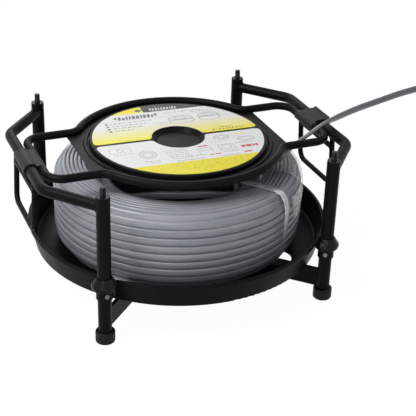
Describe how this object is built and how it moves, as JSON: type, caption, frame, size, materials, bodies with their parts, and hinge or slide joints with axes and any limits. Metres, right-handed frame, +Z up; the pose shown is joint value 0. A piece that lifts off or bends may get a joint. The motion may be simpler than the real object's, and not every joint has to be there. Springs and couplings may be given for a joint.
{
  "type": "wire feeder",
  "caption": "Turntable pay-off frame for bundled cable: four-legged base, dished rotating tray, two side handles with guide loops and a hinged, latched ring lid.",
  "frame": {"origin": "centre of the four feet, on the ground", "axes": "+X towards the right handle with the latch and the free cable end, +Y towards the back, +Z up"},
  "size_m": [0.6512, 0.448, 0.2558],
  "materials": {
    "foot_rubber": "moulded, matt",
    "black_powder_coat": "satin black powder coat",
    "black_rod": "blackened steel, fine thread at the tip",
    "zinc_fastener": "zinc plated",
    "white_nylon": "natural nylon",
    "bush_plastic": "moulded, dark grey",
    "collar_plastic": "glossy black",
    "clip_plastic": "matt moulded",
    "printed_card": "coated card",
    "cable_sheath": "smooth vinyl, slightly bluish grey",
    "clear_strap": "clear film"
  },
  "bodies": {
    "base": {"foot_front_left": "foot_rubber", "foot_front_right": "foot_rubber", "foot_back_right": "foot_rubber", "foot_back_left": "foot_rubber", "leg_front_left": "black_powder_coat", "leg_front_right": "black_powder_coat", "leg_back_right": "black_powder_coat", "leg_back_left": "black_powder_coat", "sleeve_front_left": "black_powder_coat", "sleeve_front_right": "black_powder_coat", "sleeve_back_right": "black_powder_coat", "sleeve_back_left": "black_powder_coat", "arm_front_left": "black_powder_coat", "arm_front_right": "black_powder_coat", "arm_back_right": "black_powder_coat", "arm_back_left": "black_powder_coat", "guide_rod_front_left": "black_rod", "guide_rod_front_right": "black_rod", "guide_rod_back_right": "black_rod", "guide_rod_back_left": "black_rod", "sleeve_screws": "zinc_fastener", "hub_tube": "black_powder_coat", "hub_plate": "black_powder_coat", "pivot_bolt": "zinc_fastener", "pivot_washer": "zinc_fastener", "pivot_nut": "zinc_fastener", "glide_ring": "white_nylon"},
    "turntable": {"tray": "black_powder_coat", "turntable_race": "black_powder_coat", "turntable_bush": "white_nylon", "cable_core": "cable_sheath", "cable_winding": "cable_sheath", "bundle_straps": "clear_strap"},
    "left_frame": {"upper_post_front_left": "black_powder_coat", "upper_post_back_left": "black_powder_coat", "handle_left": "black_powder_coat", "guide_loop_left": "black_powder_coat", "guide_bushes_left": "bush_plastic"},
    "right_frame": {"upper_post_front_right": "black_powder_coat", "upper_post_back_right": "black_powder_coat", "handle_right": "black_powder_coat", "guide_loop_right": "black_powder_coat", "guide_bushes_right": "bush_plastic"},
    "lid": {"lid_frame": "black_powder_coat", "lid_plate": "black_powder_coat", "label_front": "printed_card", "label_back": "printed_card", "hinge_clip": "clip_plastic", "wire_tail": "cable_sheath"},
    "latch": {"latch_clip": "clip_plastic"},
    "collar_front_left": {"lock_collar_front_left": "collar_plastic"},
    "collar_front_right": {"lock_collar_front_right": "collar_plastic"},
    "collar_back_right": {"lock_collar_back_right": "collar_plastic"},
    "collar_back_left": {"lock_collar_back_left": "collar_plastic"}
  },
  "joints": [
    {"name": "turntable_spin", "type": "hinge", "parent": "base", "child": "turntable", "pos_m": [0, 0, 0.0575], "axis": [0, 0, 1], "continuous": true},
    {"name": "left_lift", "type": "slide", "parent": "base", "child": "left_frame", "axis": [0, 0, 1], "range_m": [0, 0.06]},
    {"name": "right_lift", "type": "slide", "parent": "base", "child": "right_frame", "axis": [0, 0, 1], "range_m": [0, 0.06]},
    {"name": "lid_hinge", "type": "hinge", "parent": "left_frame", "child": "lid", "pos_m": [-0.229, 0, 0.20765], "axis": [0, -1, 0], "range_deg": [0, 105]},
    {"name": "latch_hinge", "type": "hinge", "parent": "lid", "child": "latch", "pos_m": [0.213, 0, 0.20765], "axis": [0, -1, 0], "range_deg": [0, 80]},
    {"name": "collar_front_left_slide", "type": "slide", "parent": "base", "child": "collar_front_left", "axis": [0, 0, 1], "range_m": [0, 0.025]},
    {"name": "collar_front_right_slide", "type": "slide", "parent": "base", "child": "collar_front_right", "axis": [0, 0, 1], "range_m": [0, 0.025]},
    {"name": "collar_back_right_slide", "type": "slide", "parent": "base", "child": "collar_back_right", "axis": [0, 0, 1], "range_m": [0, 0.025]},
    {"name": "collar_back_left_slide", "type": "slide", "parent": "base", "child": "collar_back_left", "axis": [0, 0, 1], "range_m": [0, 0.025]}
  ],
  "couplings": [
    {"joint": "right_lift", "follows": "left_lift", "ratio": 1}
  ]
}
